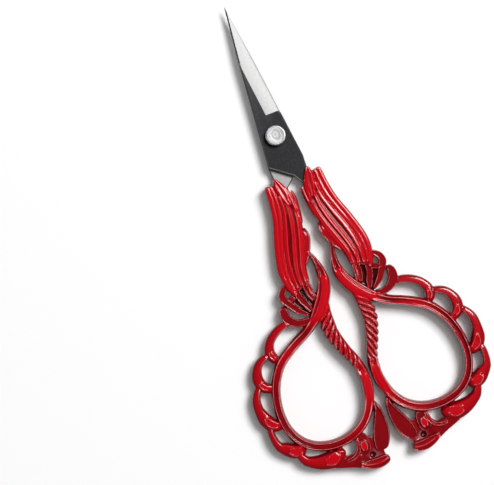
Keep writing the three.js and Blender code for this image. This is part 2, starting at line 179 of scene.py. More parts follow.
BASE = [
    [0.36, 1.338, 1.4], [0.12, 1.388, 1.7], [-0.12, 1.428, 2.1], [-0.33, 1.468, 2.5], [-0.44, 1.498, 2],
]
TAIL = [
    [[0.08, 1.385, 0.6], [-0.12, 1.38, 0.8], [-0.26, 1.34, 0.9], [-0.35, 1.26, 0.9],
     [-0.38, 1.15, 0.8], [-0.39, 1.06, 0.6]],
    [[-0.48, 1, 1.2], [-0.49, 1.07, 1.85], [-0.5, 1.14, 2.1], [-0.5, 1.25, 2.2], [-0.485, 1.34, 1.95],
     [-0.47, 1.4, 1.2]],
    [[-1.058, 0.55, 0.5], [-1.108, 0.7, 1], [-1.083, 0.86, 1.75], [-1.038, 1, 2.35],
     [-0.983, 1.14, 2.7], [-0.918, 1.285, 2.6], [-0.858, 1.39, 2], [-0.838, 1.44, 1.4]],
]
LENS = [
    [-0.24, 1.525, 0.8], [-0.45, 1.583, 1.6], [-0.69, 1.613, 1.85], [-0.88, 1.593, 1.55],
    [-0.96, 1.565, 0.95],
]
TAIL_WEB = [
    [-0.4, 1.35, 0], [-0.5, 1.2, 0], [-0.6, 1.13, 0], [-0.72, 1.13, 0], [-0.82, 1.25, 0], [-0.88, 1.4, 0],
    [-0.88, 1.58, 0], [-0.5, 1.62, 0], [-0.33, 1.52, 0],
]
TAIL_PIT = [-0.61, 1.44, 1.05]
SEEDS = [
    [[0.74, -0.92, 0.6], [0.73, -0.82, 1.1], [0.67, -0.72, 0.8]],
    [[1.23, -0.48, 0.6], [1.18, -0.37, 1.2], [1.06, -0.3, 0.8]],
    [[1.42, 0.12, 0.6], [1.33, 0.28, 1.5], [1.16, 0.37, 0.9]],
    [[1.2, 0.83, 0.8], [1.02, 0.9, 1.7], [0.84, 0.91, 1]],
    [[0.52, 1.26, 0.9], [0.29, 1.26, 2], [0.1, 1.17, 1.1]],
    [[-0.5, 1.13, 0.7], [-0.5, 1.24, 1.4], [-0.48, 1.35, 0.8]],
]

# How the strands are skinned: sides round one, the step along it, the points of its route and the
# sides of a web.
STRAND_SIDES = 48
STRAND_STEP = 0.16 * MM
CURVE_STEPS = 40
LINE_STEPS = 600
WEB_SIDES = 120

# How the pieces are cast, turned and joined up, and the metal left between the tail's two pits.
SPIN_STEPS = 96
SOFTEN_ROUNDS = 2
WELD = 1e-6
PIECE_TRIANGLES = 190000
PIT_FLOOR = 0.8 * MM

# How full a strand's section is: 2 is an oval, and more is squarer.
FEATHER_SQUARE = 3.4
RIM_SQUARE = 3.5
ROPE_SQUARE = 3
STEM_SQUARE = 5
LEAF_SQUARE = 7

# Relief in shares of a strand's height, and how sharp the rope's grooves are.
RIM_DROP = 0.3
INNER_DROP = 0.05
ARM_GROOVE = 0.2
PETAL_DROP = 0.2
TENDRIL_DROP = 0.26
TAIL_DROP = 0.3
SEED_DROP = 0.12
SCALLOP_FALL = 0.13
SHOULDER_FALL = 0.5
LOW_START = 0.68
ROPE_SINK = 0.03
ROPE_SHARP = 3

# Relief in shares of a strand's length and half width. A tendril's edges are finer than a leaf's.
START_RUN = 0.14
LEAST_FACE = 0.35
LEAST_DISH = 0.2
DISH_SLOPE = 0.15
RIM_DISH = -0.33, 0.38
INNER_LINE = 0.3, 0.5
ARM_LINE = -0.6, -0.45
LENS_LINE = -0.1, 0.25
PARTING = 0.1
PARTING_SLOPE = 0.25
TENDRIL_FINE = 0.7
ROPE_START = 0.08, 0.28
ROPE_STOP = 0.84, 0.74
ROPE_TO_RIM = 0.74, 0.86
ROPE_EDGE = 0.85, 0.6

# Relief in lengths across a strand, and the half widths at which the rim becomes the arm.
BORDER = 0.5 * MM
BORDER_SLOPE = 0.2 * MM
EDGE_SLOPE = 0.35 * MM
OUTER_SLOPE = 0.6 * MM
INNER_SLOPE = 0.5 * MM
RIM_TO_ARM = 1.25 * MM, 1.6 * MM

# Where the enamel is painted paler on edges, as worn thin enamel with a painted highlight, and painted
# darker with shade in creases, hollows and low places and on walls. A crease or hollow starts to darken at
# a faint share of its full depth.
EDGE_ROUNDS = 8
CREASE_ROUNDS = 10
SHADE_ROUNDS = 60
EDGE_RISE = 0.08 * MM
CREASE_DEPTH = 0.085 * MM
SHADE_DEPTH = 0.22 * MM
FAINT = 0.1
LOW_DEPTHS = 0.25 * MM, 0.75 * MM
DEEP_DEPTHS = 0.9 * MM, 1.8 * MM
WALL_TILTS = 0.15, 0.7
CREASE_DARK = 0.5
SHADE_DARK = 0.85
WALL_DARK = 0.65
LOW_DARK = 0.65
WALL_LIGHT = 0.3

# How a blade's faces are told apart, by the rise of their normals or by their tilt.
UPRIGHT_RISE = 0.2
FACE_RISE = 0.5
INNER_RISE = -0.9
GROUND_WITHIN = math.radians(3)
CHAMFER_LEAST = math.radians(10)
CHAMFER_MOST = math.radians(45)

# Angles from which an edge is softened or shaded sharp.
TURNED_CORNER = math.radians(35)
TURNED_SHARP = math.radians(40)
BLADE_SHARP = math.radians(20)

# The screw's head: its dark low rim as a share of its height, where that starts, in radii of the
# face, the points round the face's corner and the rings of its dish, in radii of the flat.
HEAD_RIM = 0.4
HEAD_SHADOW = 1.005
CORNER_POINTS = 6
DISH_RINGS = np.linspace(0.9, 0, 10)

FLOOR_SIDE = 4000 * MM
FLOOR_GAP = 0.05 * MM


def length(name, description, default):
    """A size in metres that a user may change."""
    return FloatProperty(name=name, description=description, default=default, unit="LENGTH", precision=5)


def angle(name, description, degrees):
    """An angle, given in degrees, that a user may change."""
    return FloatProperty(
        name=name, description=description, default=math.radians(degrees), subtype="ANGLE", unit="ROTATION"
    )


def factor(name, description, default):
    """A share that a user may change."""
    return FloatProperty(name=name, description=description, default=default, subtype="FACTOR")


def power(name, description, default):
    """A lamp's power in watts that a user may change."""
    return FloatProperty(name=name, description=description, default=default, unit="POWER")


def colour(name, description, default):
    """A colour that a user may change."""
    return FloatVectorProperty(
        name=name, description=description, default=default, size=3, min=0, max=1, subtype="COLOR"
    )


class HandleSizes(bpy.types.PropertyGroup):
    """Sizes of the two cast handles."""

    thickness: length("Thickness", "Over the feathers, the arm and the rim", HANDLE_HIGH.z - HANDLE_LOW.z)
    web_thickness: length("Web", "Wing between its feathers", 3.4 * MM)
    leaf_thickness: length("Leaves", "Tail leaves and the wing's petal", 3.9 * MM)
    scallop_thickness: length("Scallops", "Scallops round the loop", 3.7 * MM)
    base_thickness: length("Tail base", "Casting under the tail leaves", 2.8 * MM)
    pit_thickness: length("Pits", "Casting between the tail leaves", 2.2 * MM)
    # The sheet between the tendrils is painted near black as shade.
    slot_shade_sheet_thickness: length("Slots", "Casting between the tendrils", 1 * MM)
    seed_thickness: length("Seeds", "Raised ovals on the scallops and on a tail leaf", 4.3 * MM)
    tendril_thickness: length("Tendrils", "Thin strands between the wing and the arm", 4.1 * MM)
    wing_reach: length("Wing reach", "Pivot to the wing's first tip", 9.5 * MM)
    wing_length: length("Wing length", "First tip to the end of the wing", 29.6 * MM)
    wing_spread: length("Wing spread", "Middle line to the wing's outer edge", 12 * MM)
    arm_length: length("Arm length", "End of the wing to the clear loop", 8.7 * MM)
    loop_width: length("Loop width", "Clear width of a finger loop", 21.2 * MM)
    loop_length: length("Loop length", "Clear length of a finger loop", 28.2 * MM)
    strand_width: length("Strand width", "Usual width of a strand of the casting", 1.6 * MM)
    inner_rim: length("Inner rim", "Rim where the two handles meet", 2.4 * MM)
    handle_gap: length("Gap", "Between the two handles when closed", 0.5 * MM)
    rope_depth: length("Rope depth", "Depth of the grooves between the rope's turns", 0.85 * MM)
    rope_turns: IntProperty(name="Rope turns", description="Ridges along the rope", default=14, min=1)
    grain: length("Cast grain", "Finest detail that the casting keeps", 0.12 * MM)


class BladeSizes(bpy.types.PropertyGroup):
    """Sizes of the two blades and their tangs."""

    tip_reach: length("Tip reach", "Pivot to the tip", FRONT_HIGH.y)
    bend_reach: length("Bend reach", "Pivot to the bend of the spine", 20 * MM)
    bend_half: length("Bend half width", "Half the closed pair's width at the bend", 1.85 * MM)
    heel_reach: length("Heel reach", "Pivot to the start of the ground edge", 5.6 * MM)
    shoulder_back: length("Shoulder", "Pivot back to the widest place", 6.9 * MM)
    shoulder_half: length("Shoulder half width", "Half the width at the widest place", -FRONT_LOW.x)
    edge_setback: length("Edge setback", "Cutting edge inside the other blade's spine", 0.35 * MM)
    bevel_width: length("Bevel width", "Ground bevel across the blade", 3.3 * MM)
    edge_land: length("Edge land", "Thickness left at the cutting edge", 0.3 * MM)
    thickness: length("Thickness", "Of a blade", FRONT_HIGH.z - FRONT_LOW.z)
    gap: length("Gap", "Between the two blades", FRONT_LOW.z - REAR_HIGH.z)
    crook_back: length("Crook back", "Pivot to the corner between blade and tang", 10.95 * MM)
    front_crook: length("Front crook", "How far out the front blade's corner is", 0.6 * MM)
    rear_crook: length("Rear crook", "How far out the rear blade's corner is", -0.5 * MM)
    tang_out: length("Tang out", "Start of the tang from the middle line", 2.9 * MM)
    tang_back: length("Tang back", "Pivot to the start of the tang", 10.6 * MM)
    tang_length: length("Tang length", "Of a tang in its handle", 14.6 * MM)
    tang_width: length("Tang width", "Of a tang", 3 * MM)
    tang_flare: length("Tang flare", "Over which the crook runs into the tang", 2.2 * MM)
    tang_clearance: length("Tang clearance", "Round a tang in its socket", 0.1 * MM)
    tang_slant: angle("Tang slant", "Lean of a tang", 10)
    spine_chamfer: length("Spine chamfer", "Softened outer edge of a blade", 0.35 * MM)
    heel_corner: length("Heel corner", "Rounded corner behind the ground edge", 0.7 * MM)
    tang_edge: length("Tang edge", "Broken inner edge of a tang", 0.2 * MM)
    pivot_hole: length("Pivot hole", "Bore for the barrel", 3.12 * MM)


class PivotSizes(bpy.types.PropertyGroup):
    """Sizes of the screw, its barrel nut and the washer."""

    head_diameter: length("Head", "Diameter of the screw's head", SCREW_HIGH.x - SCREW_LOW.x)
    head_step: length("Head step", "Low rim round the head's face", 0.13 * MM)
    head_dish: length("Head dish", "Hollow of the head's face", 0.05 * MM)
    shank_diameter: length("Shank", "Diameter of the screw's shank", 1.8 * MM)
    barrel_diameter: length("Barrel", "Diameter of the nut's barrel", 3 * MM)
    nut_diameter: length("Nut", "Diameter of the nut's head", NUT_HIGH.x - NUT_LOW.x)
    nut_floor: length("Nut floor", "Under the bore of the nut", 0.5 * MM)
    washer_diameter: length("Washer", "Diameter of the washer", WASHER_HIGH.x - WASHER_LOW.x)
    play: length("Play", "Running clearance round and along the pivot", 0.06 * MM)
    head_corner: length("Head corner", "Rounded edge of the head", 0.25 * MM)
    corner: length("Corner", "Softened edges of the pivot's pieces", 0.04 * MM)


class Finishes(bpy.types.PropertyGroup):
    """Colours of the enamel and of the metals."""

    enamel: colour("Enamel", "Red on the open faces", (0.56, 0.0, 0.007))
    # Paler red on sharp edges: worn thin enamel together with a painted highlight.
    enamel_worn_and_highlight: colour("Thin enamel", "Paler red on sharp edges", (0.9, 0.38, 0.4))
    # Painted shade: the dark red that creases, hollows, low places and walls are darkened towards.
    enamel_shade_dark: colour("Deep enamel", "Dark red in the creases", (0.04, 0.0, 0.001))
    dark_steel: colour("Dark steel", "Blackened body of a blade", (0.026, 0.0265, 0.028))
    # Painted sheen: the lighter steel on the blades' left-facing chamfers.
    chamfer_sheen_steel: colour("Rubbed steel", "Edges of a blade's body", (0.13, 0.13, 0.13))
    ground_steel: colour("Ground steel", "Bevels and inner faces", (0.6, 0.6, 0.595))
    pivot_metal: colour("Pivot metal", "Screw, nut and washer", (0.76, 0.757, 0.76))


class StageSettings(bpy.types.PropertyGroup):
    """Floor, light and camera."""

    floor: colour("Floor", "Colour of the floor", (0.94, 0.94, 0.94))
    floor_glow: factor("Floor glow", "Lift of the floor to white", 0.065)
    floor_bounce: factor("Floor bounce", "Share of light that the floor throws back", 0.4)
    sky: factor("Sky", "Strength of the even light", 0.09)
    key: power("Key", "Power of the key lamp", 36)
    soft: power("Soft", "Power of the broad lamp", 10)
    fill: power("Fill", "Power of the fill lamp", 2)
    key_size: length("Key size", "Side of the key lamp", 760 * MM)
    soft_size: length("Soft size", "Side of the broad lamp and of the fill lamp", 1600 * MM)
    key_distance: length("Lamp distance", "From the object to a lamp", 2000 * MM)
    key_azimuth: angle("Key azimuth", "Of the key lamp and the broad lamp from +X", 23)
    key_height: angle("Key height", "Of the key lamp", 55)
    soft_height: angle("Soft height", "Of the broad lamp", 67)
    fill_azimuth: angle("Fill azimuth", "Of the fill lamp from +X", 185)
    fill_height: angle("Fill height", "Of the fill lamp", 35)
    lens: FloatProperty(
        name="Lens", description="Focal length in millimetres", default=100, unit="CAMERA"
    )
    view_width: length("View width", "Width of the picture at the object", 122.73 * MM)
    view_x: length("View centre X", "Middle of the picture", -16.32 * MM)
    view_y: length("View centre Y", "Middle of the picture", -21.93 * MM)
    view_turn: angle("View turn", "Turn of the camera", -21.7)


def select_only(*pieces):
    """Selects these objects alone and makes the first one active."""
    bpy.ops.object.select_all(action="DESELECT")
    for piece in pieces:
        piece.select_set(True)
    bpy.context.view_layer.objects.active = pieces[0]


@contextmanager
def edit_mode(piece, kind=None, chosen=None):
    """Opens a piece alone in Edit Mode, with all of it selected or the chosen ones of a kind."""
    mesh = piece.data
    if kind:
        for items in (mesh.vertices, mesh.edges, mesh.polygons):
            items.foreach_set("select", np.zeros(len(items), dtype=bool))
        picked = {"VERT": mesh.vertices, "EDGE": mesh.edges}[kind]
        picked.foreach_set("select", np.array(chosen, dtype=bool))
    select_only(piece)
    bpy.ops.object.mode_set(mode="EDIT")
    if kind:
        bpy.ops.mesh.select_mode(type=kind)
    else:
        bpy.ops.mesh.select_all(action="SELECT")
    yield
    bpy.ops.object.mode_set(mode="OBJECT")


def read_points(piece):
    """The vertices of a piece as rows of x, y and z."""
    flat = np.empty(len(piece.data.vertices) * 3)
    piece.data.vertices.foreach_get("co", flat)
    return flat.reshape(-1, 3)


def read_normals(piece):
    """The normals at the vertices of a piece as rows of x, y and z."""
    flat = np.empty(len(piece.data.vertices) * 3)
    piece.data.vertex_normals.foreach_get("vector", flat)
    return flat.reshape(-1, 3)


def write_points(piece, points):
    """Moves the vertices of a piece to these rows of x, y and z."""
    piece.data.vertices.foreach_set("co", np.asarray(points, float).ravel())
    piece.data.update()


def close_up(piece):
    """Merges the doubles of a closed piece and turns its faces outwards."""
    with edit_mode(piece):
        bpy.ops.mesh.remove_doubles(threshold=WELD)
        bpy.ops.mesh.normals_make_consistent(inside=False)


def drop_bubbles(piece):
    """Deletes the bubbles that casting leaves inside a piece: all that isn't joined to its skin."""
    on_skin = np.zeros(len(piece.data.vertices), dtype=bool)
    on_skin[read_points(piece)[:, 1].argmin()] = True
    with edit_mode(piece, "VERT", on_skin):
        bpy.ops.mesh.select_linked()
        bpy.ops.mesh.select_all(action="INVERT")
        bpy.ops.mesh.delete(type="VERT")


def apply_modifier(piece, kind, **settings):
    """Adds a modifier to a piece and applies it."""
    modifier = piece.modifiers.new(kind.lower(), kind)
    for name, value in settings.items():
        setattr(modifier, name, value)
    select_only(piece)
    bpy.ops.object.modifier_apply(modifier=modifier.name)


def cut(piece, cutter):
    """Takes the cutter out of a piece and deletes the cutter."""
    apply_modifier(piece, "BOOLEAN", object=cutter, operation="DIFFERENCE", solver="EXACT")
    bpy.data.objects.remove(cutter)


def plate(outline, low, high):
    """A flat plate with this outline, from one height to another."""
    bpy.ops.mesh.primitive_circle_add(vertices=len(outline), fill_type="NGON")
    made = bpy.context.object
    write_points(made, np.column_stack([outline, np.full(len(outline), low)]))
    with edit_mode(made):
        bpy.ops.mesh.extrude_region_move(TRANSFORM_OT_translate={"value": (0, 0, high - low)})
    close_up(made)
    return made


def finish_piece(piece, name, body, node, materials):
    """Names a piece, gives it its finish and says what it rides on and stands for."""
    piece.name = name
    piece.data.name = name
    for material in materials:
        piece.data.materials.append(material)
    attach(piece, body)
    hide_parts(node)


def ramp(value, low, high):
    """Smooth step from 0 at low to 1 at high."""
    share = np.clip((value - low) / (high - low), 0, 1)
    return share * share * (3 - 2 * share)


def between(at, first, last, start, end):
    """Straight mix of two rows of points, first at start and last at end."""
    return first + (last - first) * (at - start) / (end - start)


def smooth_line(points, closed=False):
    """A smooth line through points, as evenly spaced rows, with its length in plan."""
    if closed:
        points = np.vstack([points[-1], points, points[:2]])
    else:
        points = np.vstack([2 * points[0] - points[1], points, 2 * points[-1] - points[-2]])
    steps = np.linalg.norm(np.diff(points[:, :2], axis=0), axis=1)
    knots = np.concatenate([[0], np.cumsum(np.sqrt(steps))])
    rows = []
    for i in range(1, len(points) - 2):
        at = np.linspace(knots[i], knots[i + 1], CURVE_STEPS, endpoint=False)[:, None]
        first = [between(at, points[j], points[j + 1], knots[j], knots[j + 1]) for j in (i - 1, i, i + 1)]
        second = [between(at, first[j], first[j + 1], knots[i - 1 + j], knots[i + 1 + j]) for j in (0, 1)]
        rows.append(between(at, second[0], second[1], knots[i], knots[i + 1]))
    line = np.vstack([*rows, points[-2:-1]])
    run = np.concatenate([[0], np.cumsum(np.linalg.norm(np.diff(line[:, :2], axis=0), axis=1))])
    even = np.linspace(0, run[-1], LINE_STEPS)
    return np.column_stack([np.interp(even, run, line[:, k]) for k in range(3)]), run[-1]


def strand(points, thickness, square, relief=None, edge=None):
    """A strand of the casting about its middle plane, with an oval section and rounded ends.

    Square makes the section fuller. Relief scales its height, and edge its width, by share of
    the length, place across from -1 to 1 and half width.
    """
    line, run = smooth_line(np.asarray(points))
    along = np.gradient(line[:, :2], axis=0)
    along /= np.linalg.norm(along, axis=1)[:, None]
    steps = max(STRAND_SIDES // 2, int(run / STRAND_STEP))
    bpy.ops.mesh.primitive_grid_add(x_subdivisions=STRAND_SIDES, y_subdivisions=steps, size=2)
    skin = bpy.context.object
    grid = read_points(skin)
    turn = math.pi * (grid[:, 0] + 1)
    share = (1 - np.cos(math.pi * (grid[:, 1] + 1) / 2)) / 2
    even = np.linspace(0, 1, LINE_STEPS)
    x, y, half = (np.interp(share, even, line[:, k]) for k in range(3))
    run_x, run_y = (np.interp(share, even, along[:, k]) for k in range(2))
    across = np.sign(np.cos(turn)) * np.abs(np.cos(turn)) ** (2 / square)
    rise = np.sign(np.sin(turn)) * np.abs(np.sin(turn)) ** (2 / square)
    nearest = np.minimum(share * run / line[0, 2], (1 - share) * run / line[-1, 2])
    swell = np.sqrt(1 - (1 - np.minimum(1, nearest)) ** 2)
    out = half * swell * across
    height = thickness / 2 * swell * rise
    if relief:
        height = height * relief(share, across, half)
    if edge:
        out = out * edge(share, across, half)
    write_points(skin, np.column_stack([x - run_y * out, y + run_x * out, height]))
    close_up(skin)
    return skin


def flat_web(points, thickness):
    """A flat plate of the casting about its middle plane, with a smooth outline."""
    outline, _ = smooth_line(points, closed=True)
    return plate(outline[:: LINE_STEPS // WEB_SIDES, :2][:-1], -thickness / 2, thickness / 2)


def handle_routes(sizes):
    """Functions that turn the tables' shares into places on the left handle."""
    wing_end = sizes.wing_reach + sizes.wing_length
    loop_out = sizes.handle_gap / 2 + sizes.inner_rim + sizes.loop_width / 2
    loop_back = wing_end + sizes.arm_length + sizes.loop_length / 2
    half = sizes.strand_width / 2

    def on_wing(points):
        scale = [-sizes.wing_spread, -sizes.wing_length, half]
        return np.reshape(points, (-1, 3)) * scale - [0, sizes.wing_reach, 0]

    def on_arm(points):
        return np.asarray(points) * [-sizes.wing_spread, -sizes.arm_length, half] - [0, wing_end, 0]

    def on_loop(points):
        scale = [-sizes.loop_width / 2, -sizes.loop_length / 2, half]
        return np.asarray(points) * scale - [loop_out, loop_back, 0]

    return on_wing, on_arm, on_loop


def dish(across, low, high, slope=DISH_SLOPE):
    """1 between two places across a strand, falling to 0 outside them."""
    return ramp(across, low - slope, low) * ramp(-across, -high - slope, -high)


def shoulder(across, half, slope):
    """1 on a strand's face, falling along a sloping edge."""
    start = np.maximum(LEAST_FACE, 1 - slope / half)
    return 1 - SHOULDER_FALL * np.clip((across - start) / (1 - start), 0, 1)


def rim_section(across, half):
    """Band dished between two raised lines, with a wide slope outside it."""
    band = 1 - RIM_DROP * dish(across, *RIM_DISH) - INNER_DROP * ramp(across, *INNER_LINE)
    return band * shoulder(-across, half, OUTER_SLOPE) * shoulder(across, half, INNER_SLOPE)


def rim_relief(share, across, half):
    """The rim, running into an arm with a groove along its outer side."""
    rim = rim_section(across, half)
    arm = (1 - ARM_GROOVE * dish(across, *ARM_LINE)) * shoulder(np.abs(across), half, EDGE_SLOPE)
    return rim + (arm - rim) * ramp(half, *RIM_TO_ARM)


def leaf_relief(drop, low=LOW_START, fine=1):
    """Leaf dished inside a thin raised edge, rising from a low start. Fine narrows the edge."""

    def height(share, across, half):
        inside = np.maximum(LEAST_DISH, 1 - fine * BORDER / half)
        start = low + (1 - low) * ramp(share, 0, START_RUN)
        face = 1 - drop * dish(across, -inside, inside, fine * BORDER_SLOPE / half)
        return np.minimum(start, face) * shoulder(np.abs(across), half, fine * EDGE_SLOPE)

    return height


def scallop_relief(share, across, half):
    """Rounded scallop sloping from a line beside the loop, rising from a low start."""
    crest = np.maximum(LEAST_FACE, 1 - EDGE_SLOPE / half)
    face = 1 - SCALLOP_FALL * np.clip((crest - across) / (1 + crest), 0, 1)
    start = LOW_START + (1 - LOW_START) * ramp(share, 0, START_RUN)
    return start * face * shoulder(across, half, EDGE_SLOPE)


def lens_relief(share, across, half):
    """Leaf with a raised edge and a raised line inside it."""
    inside = np.maximum(LEAST_DISH, 1 - BORDER / half)
    low, high = LENS_LINE
    face = 1 - TAIL_DROP * dish(across, -inside, low) - TAIL_DROP * dish(across, high, inside)
    return face * shoulder(np.abs(across), half, EDGE_SLOPE)


def feather_relief(level, tilt, parting):
    """Height of a feather, sloping across it and parted by a fine groove."""

    def height(share, across, half):
        return level + tilt * across - parting * dish(across, -PARTING, PARTING, PARTING_SLOPE)

    return height


def cast_handle(sizes):
    """The left handle's casting, about its middle plane, before its socket is cut."""
    on_wing, on_arm, on_loop = handle_routes(sizes)
    depth = sizes.rope_depth / (sizes.thickness / 2)

    def groove(share, across):
        fade = ramp(share, *ROPE_STOP) * ramp(share, *ROPE_START) * ramp(across, *ROPE_EDGE)
        return fade * (0.5 + 0.5 * np.cos(2 * math.pi * (sizes.rope_turns * share + across))) ** ROPE_SHARP

    def rope_relief(share, across, half):
        rim = rim_section(-across, half) - ROPE_SINK
        return 1 - depth * groove(share, across) + (rim - 1) * ramp(share, *ROPE_TO_RIM)

    def rope_edge(share, across, half):
        return 1 - depth / 2 * groove(share, across)

    def from_wing(route):
        return np.vstack([on_wing(route[0]), on_arm(route[1])])

    strands = [
        flat_web(on_wing(WEB), sizes.web_thickness),
        flat_web(on_loop(TAIL_WEB), sizes.pit_thickness),
    ]
    for level, tilt, parting, route in FEATHERS:
        relief = feather_relief(level, tilt, parting)
        strands.append(strand(on_wing(route), sizes.thickness, FEATHER_SQUARE, relief))
    strands.append(strand(on_wing(PETAL), sizes.leaf_thickness, LEAF_SQUARE, leaf_relief(PETAL_DROP)))
    # The sheet across the tendril gaps, painted near black as shade.
    strands.append(flat_web(on_arm(SLOT_SHADE_SHEET), sizes.slot_shade_sheet_thickness))
    stem = leaf_relief(TENDRIL_DROP, fine=TENDRIL_FINE)
    arm_and_rim = np.vstack([from_wing(ARM), on_loop(RIM)])
    for routes, thickness, square, *reliefs in (
        ([from_wing(route) for route in TENDRILS], sizes.tendril_thickness, STEM_SQUARE, stem),
        ([arm_and_rim], sizes.thickness, RIM_SQUARE, rim_relief),
        ([on_loop(ROPE)], sizes.thickness, ROPE_SQUARE, rope_relief, rope_edge),
        (map(on_loop, SCALLOPS), sizes.scallop_thickness, RIM_SQUARE, scallop_relief),
        (map(on_loop, TAIL), sizes.leaf_thickness, LEAF_SQUARE, leaf_relief(TAIL_DROP)),
        ([on_loop(LENS)], sizes.leaf_thickness, LEAF_SQUARE, lens_relief),
        ([on_loop(BASE)], sizes.base_thickness, STEM_SQUARE),
        (map(on_loop, SEEDS), sizes.seed_thickness, STEM_SQUARE, leaf_relief(SEED_DROP, 1)),
    ):
        strands += [strand(route, thickness, square, *reliefs) for route in routes]
    select_only(*strands)
    bpy.ops.object.join()
    casting = bpy.context.object
    apply_modifier(casting, "REMESH", mode="VOXEL", voxel_size=sizes.grain)
    apply_modifier(casting, "SMOOTH", factor=0.5, iterations=SOFTEN_ROUNDS)
    return casting


def neighbour_mean(points, edges, rounds):
    """Rows of points averaged with their neighbours along the edges, several times over."""
    count = np.bincount(edges.ravel(), minlength=len(points))[:, None]
    for _ in range(rounds):
        pairs = ((edges[:, 0], edges[:, 1]), (edges[:, 1], edges[:, 0]))
        points = np.column_stack(
            [sum(np.bincount(to, points[of, k], len(count)) for to, of in pairs) for k in range(3)]
        )
        points = points / count
    return points


def bulge(piece, rounds):
    """How far each vertex stands out from its neighbourhood, below 0 in a hollow."""
    mesh = piece.data
    points = read_points(piece)
    edges = np.empty(len(mesh.edges) * 2, np.int32)
    mesh.edges.foreach_get("vertices", edges)
    offset = points - neighbour_mean(points, edges.reshape(-1, 2), rounds)
    return (offset * read_normals(piece)).sum(1)


def mark(piece, name, values):
    """Stores a value on each vertex for the enamel to follow."""
    attribute = piece.data.attributes.new(name, "FLOAT", "POINT")
    attribute.data.foreach_set("value", values.astype(np.float32))


def painted_shade_amount(piece):
    """Painted shade: 0 on open faces, more on steep walls, in creases and in low places, to 1 deep inside.
    """
    crease = ramp(-bulge(piece, CREASE_ROUNDS), FAINT * CREASE_DEPTH, CREASE_DEPTH)
    shade = ramp(-bulge(piece, SHADE_ROUNDS), FAINT * SHADE_DEPTH, SHADE_DEPTH)
    face = (HANDLE_HIGH.z - HANDLE_LOW.z) / 2
    depth = face - np.abs(read_points(piece)[:, 2] - MIDDLE)
    wall = ramp(1 - np.abs(read_normals(piece)[:, 2]), *WALL_TILTS)
    low = ramp(depth, *LOW_DEPTHS)
    # The deep term also paints near black shade low on the walls, on the floor between the tail's pits and
    # on the sheet between the tendrils.
    deep = ramp(depth, *DEEP_DEPTHS) * (1 - WALL_LIGHT * wall)
    return np.maximum.reduce(
        [CREASE_DARK * crease, SHADE_DARK * shade, WALL_DARK * wall, LOW_DARK * low, deep]
    )


def pair_half(y, sizes):
    """Half the width of the closed pair of blades."""
    reach = [-sizes.shoulder_back, sizes.bend_reach, sizes.tip_reach]
    return np.interp(y, reach, [sizes.shoulder_half, sizes.bend_half, 0])


def blade_outline(crook, sizes):
    """Plan of a blade seen on its outer face, with its tang going to the right."""

    def tang(along, across):
        turn = sizes.tang_slant
        return [
            sizes.tang_out + along * math.sin(turn) + across * math.cos(turn),
            -sizes.tang_back - along * math.cos(turn) + across * math.sin(turn),
        ]

    half = sizes.tang_width / 2
    heel = pair_half(sizes.heel_reach, sizes)
    return np.array([
        [0, sizes.tip_reach],
        [-sizes.bend_half, sizes.bend_reach],
        [-sizes.shoulder_half, -sizes.shoulder_back],
        [crook, -sizes.crook_back],
        tang(sizes.tang_flare, -half),
        tang(sizes.tang_length, -half),
        tang(sizes.tang_length, half),
        tang(0, half),
        [sizes.shoulder_half, -sizes.shoulder_back],
        [pair_half(sizes.heel_reach - sizes.heel_corner, sizes), sizes.heel_reach - sizes.heel_corner],
        [heel - sizes.edge_setback, sizes.heel_reach],
    ])


def bevel_slope(sizes):
    """Rise of the ground bevel across the blade."""
    return (sizes.thickness - sizes.edge_land) / sizes.bevel_width


def bevel_cutter(sizes):
    """A wedge over the ground bevel, from the heel past the tip."""
    slope = bevel_slope(sizes)
    inner = sizes.gap / 2
    heel = pair_half(sizes.heel_reach, sizes) - sizes.edge_setback
    over = sizes.thickness
    edge_x = heel + over
    spine_x = heel - sizes.bevel_width - over / slope / 2
    lean = -heel / (sizes.tip_reach - sizes.heel_reach)
    bpy.ops.mesh.primitive_cube_add(size=2)
    wedge = bpy.context.object
    signs = read_points(wedge)
    x = np.where(signs[:, 0] > 0, edge_x, spine_x)
    y = np.where(signs[:, 1] > 0, sizes.tip_reach + over, sizes.heel_reach)
    plane = inner + sizes.edge_land + (heel - x) * slope
    z = np.where(signs[:, 2] > 0, inner + 2 * over, plane)
    write_points(wedge, np.column_stack([x + lean * (y - sizes.heel_reach), y, z]))
    return wedge


def bevel_edges(blade, wanted, width, segments):
    """Bevels the edges of a blade that a test picks."""
    with edit_mode(blade, "EDGE", [wanted(edge) for edge in blade.data.edges]):
        bpy.ops.mesh.bevel(offset=width, segments=segments, affect="EDGES")


def chamfer_spine(blade, sizes):
    """Softens the outer edges of a blade, apart from its cutting edge, heel and pivot hole."""
    mesh = blade.data
    rises = {}
    for polygon in mesh.polygons:
        for key in polygon.edge_keys:
            rises.setdefault(key, []).append(polygon.normal.z)

    def on_spine(edge):
        first, last = (mesh.vertices[i].co for i in edge.vertices)
        middle = (first + last) / 2
        low, *_, high = sorted(rises[edge.key])
        outer_corner = abs(low) < UPRIGHT_RISE and high > FACE_RISE
        on_edge = middle.x > 0 and middle.y > sizes.heel_reach - WELD
        at_hole = middle.xy.length < sizes.pivot_hole
        return outer_corner and not on_edge and not at_hole

    bevel_edges(blade, on_spine, sizes.spine_chamfer, 2)


def break_tang_edge(blade, sizes):
    """Breaks the inner edges of a blade behind its shoulder, which keep the dark body steel as a painted
    shadow line.
    """
    mesh = blade.data
    inner = min(vertex.co.z for vertex in mesh.vertices)

    def on_tang(edge):
        ends = [mesh.vertices[i].co for i in edge.vertices]
        flat = all(end.z < inner + WELD for end in ends)
        return flat and all(end.y < -sizes.shoulder_back + WELD for end in ends)

    bevel_edges(blade, on_tang, sizes.tang_edge, 1)


